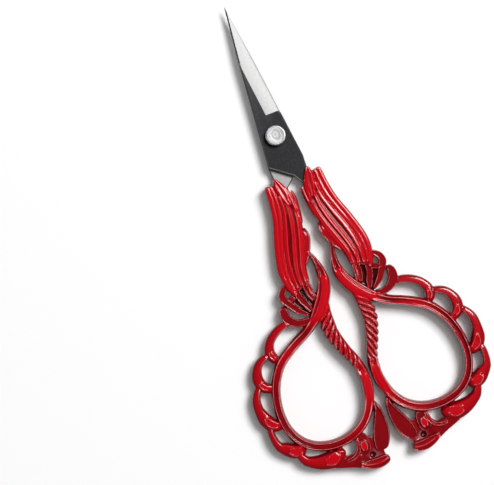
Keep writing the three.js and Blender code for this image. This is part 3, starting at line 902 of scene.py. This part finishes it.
def shape_blade(crook, sizes):
    """A blade over the middle plane, its flat face towards that plane."""
    inner = MIDDLE + sizes.gap / 2
    blade = plate(blade_outline(crook, sizes), inner, inner + sizes.thickness)
    wedge = bevel_cutter(sizes)
    write_points(wedge, read_points(wedge) + [0, 0, MIDDLE])
    cut(blade, wedge)
    bpy.ops.mesh.primitive_cylinder_add(
        vertices=SPIN_STEPS, radius=sizes.pivot_hole / 2, depth=4 * sizes.thickness, location=(0, 0, inner)
    )
    bore = bpy.context.object
    bpy.ops.object.transform_apply(location=True, rotation=True, scale=True)
    cut(blade, bore)
    chamfer_spine(blade, sizes)
    break_tang_edge(blade, sizes)
    close_up(blade)
    slope = math.atan(bevel_slope(sizes))
    for polygon in blade.data.polygons:
        tilt = math.acos(max(-1, min(1, polygon.normal.z)))
        ground = abs(tilt - slope) < GROUND_WITHIN and polygon.center.y > sizes.heel_reach
        # Left-facing chamfers get a lighter steel as painted sheen, and behind the shoulder the bright
        # ground steel as a painted highlight line. The tang's broken inner edges keep the dark body steel
        # as a painted shadow line.
        sheen_chamfer = CHAMFER_LEAST < tilt < CHAMFER_MOST and polygon.normal.x < 0
        worn = sheen_chamfer and polygon.center.y < -sizes.shoulder_back
        inside = polygon.normal.z < INNER_RISE
        polygon.material_index = 1 if ground or worn or inside else 2 * sheen_chamfer
    return blade


def turn_over(piece):
    """Turns a piece half round the Y axis of the middle plane, from the front half to the rear."""
    with edit_mode(piece):
        bpy.ops.transform.rotate(value=math.pi, orient_axis="Y", center_override=(0, 0, MIDDLE))


def copy_of(piece):
    """A copy of a piece with its own mesh."""
    select_only(piece)
    bpy.ops.object.duplicate(linked=False)
    return bpy.context.object


def spun(profile, corner):
    """A turned piece: a profile of radius and height spun about the pivot's axis."""
    bpy.ops.mesh.primitive_circle_add(vertices=len(profile), fill_type="NOTHING")
    made = bpy.context.object
    write_points(made, [[radius, 0, z] for radius, z in profile])
    with edit_mode(made):
        bpy.ops.mesh.spin(steps=SPIN_STEPS, angle=2 * math.pi, center=(0, 0, 0), axis=(0, 0, 1))
    close_up(made)
    apply_modifier(
        made, "BEVEL", width=corner, segments=3, limit_method="ANGLE", angle_limit=TURNED_CORNER
    )
    select_only(made)
    bpy.ops.object.shade_smooth_by_angle(angle=TURNED_SHARP)
    return made


class Wire:
    """A socket of a material's node tree. Arithmetic on it adds Math nodes."""

    def __init__(self, tree, socket=None):
        self.tree = tree
        self.socket = socket

    def node(self, kind, settings=None, inputs=None, output=0):
        """Adds a node with its settings, values and links, and gives one of its outputs."""
        made = self.tree.nodes.new(kind)
        for name, value in (settings or {}).items():
            if name == "stops":
                self.set_stops(made.color_ramp, value)
            else:
                setattr(made, name, value)
        for name, value in (inputs or {}).items():
            if isinstance(value, Wire):
                self.tree.links.new(value.socket, made.inputs[name])
            else:
                made.inputs[name].default_value = value
        return Wire(self.tree, made.outputs[output] if made.outputs else None)

    @staticmethod
    def set_stops(colour_ramp, stops):
        """Places and colours the stops of a colour ramp."""
        while len(colour_ramp.elements) < len(stops):
            colour_ramp.elements.new(1)
        for element, (place, shade) in zip(colour_ramp.elements, stops):
            element.position = place
            element.color = (*shade, 1)

    def math(self, operation, first, second):
        """Adds a Math node."""
        return self.node("ShaderNodeMath", {"operation": operation}, {0: first, 1: second})

    def __add__(self, other):
        return self.math("ADD", self, other)

    def __radd__(self, other):
        return self.math("ADD", other, self)

    def __sub__(self, other):
        return self.math("SUBTRACT", self, other)

    def __rsub__(self, other):
        return self.math("SUBTRACT", other, self)

    def __mul__(self, other):
        return self.math("MULTIPLY", self, other)

    def __rmul__(self, other):
        return self.math("MULTIPLY", other, self)


def new_material(name):
    """An empty material, the wire that adds its nodes and the object's own coordinates."""
    material = bpy.data.materials.new(name)
    material.use_nodes = True
    material.node_tree.nodes.clear()
    wire = Wire(material.node_tree)
    return material, wire, wire.node("ShaderNodeTexCoord", output="Object")


def surface(wire, **inputs):
    """Ends a material with a Principled shader; names take spaces for underscores."""
    sockets = {name.replace("_", " "): value for name, value in inputs.items()}
    shader = wire.node("ShaderNodeBsdfPrincipled", inputs=sockets)
    wire.node("ShaderNodeOutputMaterial", inputs={"Surface": shader})


def noise(wire, place, scale, detail=3, stretch=None, turn=0):
    """Fine uneven values about a half; stretch and turn draw them out into streaks."""
    if stretch:
        place = wire.node(
            "ShaderNodeMapping", inputs={"Vector": place, "Scale": stretch, "Rotation": (0, 0, turn)}
        )
    return wire.node("ShaderNodeTexNoise", inputs={"Vector": place, "Scale": scale, "Detail": detail})


def mix(wire, share, first, second):
    """A share of the second colour in the first one."""
    first, second = (shade if isinstance(shade, Wire) else (*shade, 1) for shade in (first, second))
    return wire.node("ShaderNodeMix", {"data_type": "RGBA"}, {0: share, 6: first, 7: second}, output=2)


def enamel_finish(finishes):
    """Glossy red enamel, painted paler on the edges as worn thin enamel with a highlight, and painted
    darker in the hollows as shade.
    """
    material, wire, place = new_material("red_enamel")
    edge = wire.node("ShaderNodeAttribute", {"attribute_name": "edge"}, output="Fac")
    hollow = wire.node("ShaderNodeAttribute", {"attribute_name": "hollow"}, output="Fac")
    mottle = noise(wire, place, scale=400)
    patches = wire.node("ShaderNodeClamp", inputs={"Value": 3.2 * mottle - 0.9})
    # Sharp edges are painted paler: worn thin enamel with a painted highlight.
    worn = mix(wire, edge * patches, finishes.enamel, finishes.enamel_worn_and_highlight)
    # Creases, hollows, low places and walls are painted darker as shade.
    tint = mix(wire, hollow * (0.7 + 0.5 * mottle), worn, finishes.enamel_shade_dark)
    peel = noise(wire, place, scale=900, detail=2)
    bump = wire.node("ShaderNodeBump", inputs={"Height": peel, "Strength": 0.06, "Distance": 0.05 * MM})
    gloss = 0.1 + 0.06 * mottle
    surface(wire, Base_Color=tint, Roughness=gloss, Normal=bump)
    return material


def dark_steel_finish(name, shade):
    """Satin steel with a fine grain."""
    material, wire, place = new_material(name)
    shade = tuple(shade)
    worn = tuple(1.5 * value for value in shade)
    grain = noise(wire, place, scale=1500, detail=5)
    stops = [(0.35, shade), (0.8, worn)]
    tint = wire.node("ShaderNodeValToRGB", {"stops": stops}, {"Fac": grain})
    grit = noise(wire, place, scale=3500, detail=2)
    bump = wire.node("ShaderNodeBump", inputs={"Height": grit, "Strength": 0.15, "Distance": 0.02 * MM})
    surface(wire, Base_Color=tint, Roughness=0.38 + 0.14 * grain, Normal=bump, Metallic=0.75)
    return material


def ground_steel_finish(finishes):
    """Bright ground steel with fine lines across the blade."""
    material, wire, place = new_material("ground_steel")
    bright = tuple(finishes.ground_steel)
    dull = tuple(0.84 * value for value in bright)
    lines = noise(wire, place, scale=1400, detail=5, stretch=(0.4, 5, 1), turn=math.radians(12))
    speckle = noise(wire, place, scale=2600, detail=4)
    blend = 0.5 * lines + 0.5 * speckle
    tint = wire.node("ShaderNodeValToRGB", {"stops": [(0.38, dull), (0.6, bright)]}, {"Fac": blend})
    bump = wire.node("ShaderNodeBump", inputs={"Height": lines, "Strength": 0.2, "Distance": 0.01 * MM})
    surface(wire, Base_Color=tint, Roughness=0.58 + 0.14 * lines, Normal=bump, Metallic=1.0)
    return material


def pivot_finish(finishes):
    """Satin turned metal with rings round the pivot's axis."""
    material, wire, place = new_material("pivot_metal")
    bright = tuple(finishes.pivot_metal)
    dull = tuple(0.72 * value for value in bright)
    rings = wire.node(
        "ShaderNodeTexWave",
        {"wave_type": "RINGS", "rings_direction": "Z"},
        {"Vector": place, "Scale": 300, "Distortion": 9, "Detail": 3, "Detail Scale": 1.5},
    )
    spots = noise(wire, place, scale=900)
    blend = 0.45 * rings + 0.55 * spots
    tint = wire.node("ShaderNodeValToRGB", {"stops": [(0.3, dull), (0.6, bright)]}, {"Fac": blend})
    bump = wire.node("ShaderNodeBump", inputs={"Height": rings, "Strength": 0.25, "Distance": 0.03 * MM})
    surface(wire, Base_Color=tint, Roughness=0.42 + 0.12 * spots, Normal=bump, Metallic=1.0)
    return material


class SCISSORS_OT_handles(bpy.types.Operator):
    """Models the two enamelled handles with their sockets"""

    bl_idname = "scissors.handles"
    bl_label = "Handles"

    def execute(self, context):
        sizes = context.scene.scissors_handles
        blades = context.scene.scissors_blades
        left = cast_handle(sizes)
        write_points(left, read_points(left) + [0, 0, MIDDLE])
        right = copy_of(left)
        turn_over(right)
        material = enamel_finish(context.scene.scissors_finishes)
        for casting, crook, name, body in (
            (left, blades.rear_crook, "left_handle", "rear_half"),
            (right, blades.front_crook, "right_handle", "front_half"),
        ):
            socket = self.socket(crook, blades, sizes)
            if casting is left:
                turn_over(socket)
            cut(casting, socket)
            # The edge mark paints the enamel paler on sharp edges, as worn thin enamel with a painted
            # highlight.
            mark(casting, "edge", ramp(bulge(casting, EDGE_ROUNDS), EDGE_RISE / 2, EDGE_RISE))
            triangles = sum(len(polygon.vertices) - 2 for polygon in casting.data.polygons)
            apply_modifier(casting, "DECIMATE", ratio=min(1, PIECE_TRIANGLES / triangles))
            drop_bubbles(casting)
            select_only(casting)
            bpy.ops.object.shade_smooth()
            write_points(casting, np.clip(read_points(casting), *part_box(name)))
            # The hollow mark is painted shade in the enamel's creases, hollows, low places and walls.
            mark(casting, "hollow", painted_shade_amount(casting))
            finish_piece(casting, name + "_casting", body, name, [material])
        return {"FINISHED"}

    @staticmethod
    def socket(crook, blades, sizes):
        """Room for a blade's tang, with clearance all round, and the tail's two pits."""
        inner = MIDDLE + blades.gap / 2
        clearance = blades.tang_clearance
        room = plate(blade_outline(crook, blades), inner - clearance, inner + blades.thickness + clearance)
        apply_modifier(room, "DISPLACE", strength=clearance, mid_level=0)
        _, _, on_loop = handle_routes(sizes)
        x, y, half = on_loop(TAIL_PIT)
        pits = []
        for side in (-1, 1):
            bpy.ops.mesh.primitive_cylinder_add(
                vertices=SPIN_STEPS,
                radius=half,
                depth=sizes.thickness,
                location=(-x, y, MIDDLE + side * (sizes.thickness + PIT_FLOOR) / 2),
            )
            pits.append(bpy.context.object)
            bpy.ops.object.transform_apply(location=True, rotation=True, scale=True)
        select_only(room, *pits)
        bpy.ops.object.join()
        return room


class SCISSORS_OT_blades(bpy.types.Operator):
    """Models the two ground blades with their tangs"""

    bl_idname = "scissors.blades"
    bl_label = "Blades"

    def execute(self, context):
        sizes = context.scene.scissors_blades
        finishes = context.scene.scissors_finishes
        materials = [
            dark_steel_finish("dark_steel", finishes.dark_steel),
            ground_steel_finish(finishes),
            dark_steel_finish("chamfer_sheen_steel", finishes.chamfer_sheen_steel),
        ]
        front = shape_blade(sizes.front_crook, sizes)
        rear = shape_blade(sizes.rear_crook, sizes)
        turn_over(rear)
        for blade, name, body in ((front, "front_blade", "front_half"), (rear, "rear_blade", "rear_half")):
            select_only(blade)
            bpy.ops.object.shade_smooth_by_angle(angle=BLADE_SHARP)
            finish_piece(blade, name + "_steel", body, name, materials)
        return {"FINISHED"}


class SCISSORS_OT_pivot(bpy.types.Operator):
    """Models the screw, its barrel nut and the washer"""

    bl_idname = "scissors.pivot"
    bl_label = "Pivot"

    def execute(self, context):
        sizes = context.scene.scissors_pivot
        material = pivot_finish(context.scene.scissors_finishes)
        shadow = dark_steel_finish("pivot_shadow", context.scene.scissors_finishes.dark_steel)
        face = (sizes.head_diameter / 2 - sizes.head_step) * HEAD_SHADOW
        for shape, name, node in (
            (self.screw, "pivot_head", "pivot_screw"),
            (self.nut, "pivot_nut", "pivot_barrel"),
            (self.washer, "pivot_ring", "pivot_washer"),
        ):
            piece = spun(shape(sizes), sizes.corner)
            finish_piece(piece, name, "rear_half", node, [material, shadow])
            for polygon in piece.data.polygons:
                polygon.material_index = int(shape == self.screw and polygon.center.xy.length > face)
        return {"FINISHED"}

    @staticmethod
    def screw(sizes):
        """Profile of the screw, from the end of its shank to its stepped head with a dished face."""
        low = WASHER_HIGH.z + sizes.play
        shank = sizes.shank_diameter / 2
        head = sizes.head_diameter / 2
        face = head - sizes.head_step
        rim = low + HEAD_RIM * (SCREW_HIGH.z - low)
        flat = face - sizes.head_corner
        edge = SCREW_HIGH.z - sizes.head_corner
        corner = [
            (flat + sizes.head_corner * math.cos(turn), edge + sizes.head_corner * math.sin(turn))
            for turn in np.linspace(0, math.pi / 2, CORNER_POINTS)
        ]
        hollow = [
            (flat * place, SCREW_HIGH.z - sizes.head_dish * (1 - place**2))
            for place in DISH_RINGS
        ]
        foot = [(0, SCREW_LOW.z), (shank, SCREW_LOW.z), (shank, low), (head, low), (head, rim), (face, rim)]
        return foot + corner + hollow

    @staticmethod
    def nut(sizes):
        """Profile of the nut: a flat head under the rear blade and a barrel through both blades."""
        head = sizes.nut_diameter / 2
        barrel = sizes.barrel_diameter / 2
        bore = sizes.shank_diameter / 2 + sizes.play
        top = REAR_LOW.z - sizes.play
        floor = NUT_LOW.z + sizes.nut_floor
        return [
            (0, NUT_LOW.z), (head, NUT_LOW.z), (head, top), (barrel, top),
            (barrel, NUT_HIGH.z), (bore, NUT_HIGH.z), (bore, floor), (0, floor),
        ]

    @staticmethod
    def washer(sizes):
        """Profile of the washer under the screw's head."""
        outer = sizes.washer_diameter / 2
        bore = sizes.shank_diameter / 2 + sizes.play
        low, high = WASHER_LOW.z, WASHER_HIGH.z
        return [(bore, low), (outer, low), (outer, high), (bore, high)]


class SCISSORS_OT_stage(bpy.types.Operator):
    """Lays the floor, hangs the lamps and places the camera"""

    bl_idname = "scissors.stage"
    bl_label = "Stage"

    def execute(self, context):
        settings = context.scene.scissors_stage
        self.floor(settings)
        self.light(context.scene, settings)
        self.camera(context.scene, settings)
        return {"FINISHED"}

    @staticmethod
    def floor(settings):
        """A pale floor that the camera sees as white, with the shadow left on it."""
        bpy.ops.mesh.primitive_plane_add(size=FLOOR_SIDE, location=(0, 0, CAD_BOX[0].z - FLOOR_GAP))
        floor = bpy.context.object
        floor.name = "floor"
        material, wire, _ = new_material("pale_floor")
        seen = sum(
            wire.node("ShaderNodeLightPath", output=ray)
            for ray in ("Is Camera Ray", "Is Glossy Ray", "Is Transmission Ray")
        )
        dim = tuple(settings.floor_bounce * value for value in settings.floor)
        matt = wire.node("ShaderNodeBsdfDiffuse", inputs={"Color": mix(wire, seen, dim, settings.floor)})
        glow = wire.node(
            "ShaderNodeEmission", inputs={"Color": (1, 1, 1, 1), "Strength": settings.floor_glow * seen}
        )
        both = wire.node("ShaderNodeAddShader", inputs={0: matt, 1: glow})
        wire.node("ShaderNodeOutputMaterial", inputs={"Surface": both})
        floor.data.materials.append(material)

    @staticmethod
    def light(scene, settings):
        """Even light all round, a key and a broad lamp on the right, and a weak fill on the left.

        Only the key lamp shines in the enamel, as a small bright window would.
        """
        world = bpy.data.worlds.new("soft_sky")
        world.use_nodes = True
        sky = world.node_tree.nodes["Background"]
        sky.inputs["Color"].default_value = (1, 1, 1, 1)
        sky.inputs["Strength"].default_value = settings.sky
        scene.world = world
        centre = (CAD_BOX[0] + CAD_BOX[1]) / 2
        for name, watts, size, azimuth, height in (
            ("key_lamp", settings.key, settings.key_size, settings.key_azimuth, settings.key_height),
            ("soft_lamp", settings.soft, settings.soft_size, settings.key_azimuth, settings.soft_height),
            ("fill_lamp", settings.fill, settings.soft_size, settings.fill_azimuth, settings.fill_height),
        ):
            flat = math.cos(height)
            towards = Vector((flat * math.cos(azimuth), flat * math.sin(azimuth), math.sin(height)))
            bpy.ops.object.light_add(type="AREA")
            lamp = bpy.context.object
            lamp.name = name
            lamp.data.energy = watts
            lamp.data.size = size
            lamp.visible_glossy = name == "key_lamp"
            lamp.location = centre + settings.key_distance * towards
            lamp.rotation_euler = towards.to_track_quat("Z", "Y").to_euler()

    @staticmethod
    def camera(scene, settings):
        """A long lens straight above the scissors."""
        lens = bpy.data.cameras.new("camera")
        lens.lens = settings.lens
        camera = bpy.data.objects.new("camera", lens)
        scene.collection.objects.link(camera)
        height = settings.view_width * settings.lens / lens.sensor_width
        camera.location = (settings.view_x, settings.view_y, MIDDLE + height)
        camera.rotation_euler = (0, 0, settings.view_turn)
        scene.camera = camera
        scene.view_settings.view_transform = "Standard"


class SCISSORS_PT_panel(bpy.types.Panel):
    """Lists the pieces of the scissors"""

    bl_idname = "SCISSORS_PT_panel"
    bl_label = "Embroidery Scissors"
    bl_space_type = "VIEW_3D"
    bl_region_type = "UI"
    bl_category = "Scissors"

    def draw(self, context):
        for operator in OPERATORS:
            self.layout.operator(operator.bl_idname)


OPERATORS = (SCISSORS_OT_handles, SCISSORS_OT_blades, SCISSORS_OT_pivot, SCISSORS_OT_stage)
GROUPS = {
    "scissors_handles": HandleSizes,
    "scissors_blades": BladeSizes,
    "scissors_pivot": PivotSizes,
    "scissors_finishes": Finishes,
    "scissors_stage": StageSettings,
}


def register():
    """Registers the sizes, the operators and the panel."""
    for name, group in GROUPS.items():
        bpy.utils.register_class(group)
        setattr(bpy.types.Scene, name, PointerProperty(type=group))
    for operator in OPERATORS:
        bpy.utils.register_class(operator)
    bpy.utils.register_class(SCISSORS_PT_panel)


def unregister():
    """Takes the panel, the operators and the sizes out again."""
    bpy.utils.unregister_class(SCISSORS_PT_panel)
    for operator in OPERATORS:
        bpy.utils.unregister_class(operator)
    for name, group in GROUPS.items():
        delattr(bpy.types.Scene, name)
        bpy.utils.unregister_class(group)


def main():
    """Builds the scissors and their stage."""
    register()
    bpy.ops.object.select_all(action="DESELECT")
    bpy.ops.scissors.handles()
    bpy.ops.scissors.blades()
    bpy.ops.scissors.pivot()
    bpy.ops.scissors.stage()
    bpy.context.view_layer.update()


if __name__ == "__main__":
    main()
